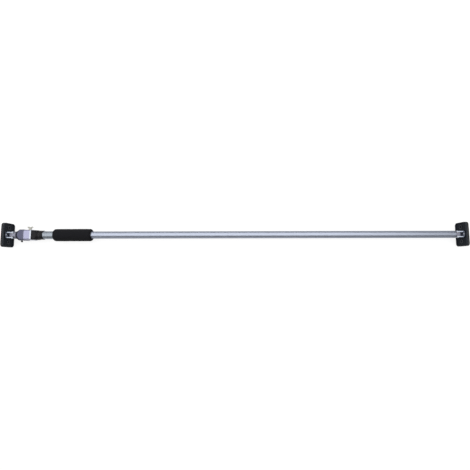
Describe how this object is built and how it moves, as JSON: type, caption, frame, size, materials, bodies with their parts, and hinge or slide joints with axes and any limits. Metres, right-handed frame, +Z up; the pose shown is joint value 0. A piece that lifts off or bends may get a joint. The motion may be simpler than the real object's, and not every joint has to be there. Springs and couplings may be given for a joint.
{
  "type": "telescopic support rod",
  "caption": "Telescopic support rod with swivel pads, a foam grip, and a clutch housing with jam plate, release tab and wing screw that hold the inner tube at any length.",
  "frame": {"origin": "on the floor, under the middle of the closed rod, which lies on the long edges of its pads", "axes": "+X along the rod towards the plain end, +Z up, +Y across the rod towards the wing screw"},
  "size_m": [1.605, 0.084, 0.054],
  "materials": {
    "plated_tube": "zinc plated, drawn",
    "inner_steel": "zinc plated, drawn",
    "sleeve_aluminium": "drawn, satin",
    "foam": "closed cell foam",
    "black_nylon": "moulded",
    "cast_block": "die cast, bright",
    "cast_nose": "die cast, dull",
    "plate_steel": "bright zinc plated",
    "natural_nylon": "moulded",
    "fastener_steel": "zinc plated",
    "spring_steel": "oiled wire",
    "jam_steel": "ground, hardened",
    "brass": "turned",
    "wing_zinc": "cast, plated",
    "plug_zinc": "die cast, dull",
    "lug_steel": "folded sheet, zinc plated",
    "pad_plastic": "moulded, fine texture",
    "pad_rubber": "moulded"
  },
  "bodies": {
    "outer_rod": {"outer_tube": "plated_tube", "grip_sleeve": "sleeve_aluminium", "foam_grip": "foam", "collar": "black_nylon", "collar_rivets": "fastener_steel", "clutch_block": "cast_block", "clutch_nose": "cast_nose", "end_plate": "plate_steel", "housing_screws": "fastener_steel", "jam_spring": "spring_steel", "wing_bush": "brass", "guide_bush": "natural_nylon", "right_end_plug": "plug_zinc", "right_plug_pin": "fastener_steel", "right_pivot_pin": "fastener_steel", "right_spacers": "natural_nylon"},
    "inner_rod": {"inner_tube": "inner_steel", "tail_bush": "natural_nylon", "tail_pin": "fastener_steel", "left_end_plug": "plug_zinc", "left_plug_pin": "fastener_steel", "left_pivot_pin": "fastener_steel", "left_spacers": "natural_nylon"},
    "jam": {"jam_plate": "jam_steel", "release_tab": "black_nylon"},
    "shoe": {"brake_shoe": "natural_nylon"},
    "wing": {"wing_screw": "wing_zinc"},
    "left_pad": {"left_lug": "lug_steel", "left_lug_rivets": "fastener_steel", "left_pad_plate": "pad_plastic", "left_pad_sole": "pad_rubber"},
    "right_pad": {"right_lug": "lug_steel", "right_lug_rivets": "fastener_steel", "right_pad_plate": "pad_plastic", "right_pad_sole": "pad_rubber"}
  },
  "joints": [
    {"name": "telescope", "type": "slide", "parent": "outer_rod", "child": "inner_rod", "axis": [-1, 0, 0], "range_m": [0, 1.3]},
    {"name": "left_swivel", "type": "hinge", "parent": "inner_rod", "child": "left_pad", "pos_m": [-0.7815, 0, 0.027], "axis": [0, 1, 0], "range_deg": [-45, 45]},
    {"name": "right_swivel", "type": "hinge", "parent": "outer_rod", "child": "right_pad", "pos_m": [0.7815, 0, 0.027], "axis": [0, 1, 0], "range_deg": [-45, 45]},
    {"name": "jam_release", "type": "hinge", "parent": "outer_rod", "child": "jam", "pos_m": [-0.748, 0.016, 0.027], "axis": [0, 0, -1], "range_deg": [0, 5], "stiffness_Nm_per_rad": 1, "springref_deg": -11.46, "deforming": ["jam_spring"]},
    {"name": "shoe_lift", "type": "slide", "parent": "outer_rod", "child": "shoe", "axis": [0, 1, 0], "range_m": [0, 0.002]},
    {"name": "wing_turn", "type": "hinge", "parent": "shoe", "child": "wing", "pos_m": [-0.7195, 0, 0.027], "axis": [0, 1, 0], "range_deg": [0, 722]}
  ],
  "couplings": [
    {"joint": "wing_turn", "follows": "shoe_lift", "rad_per_m": 6283.2}
  ]
}
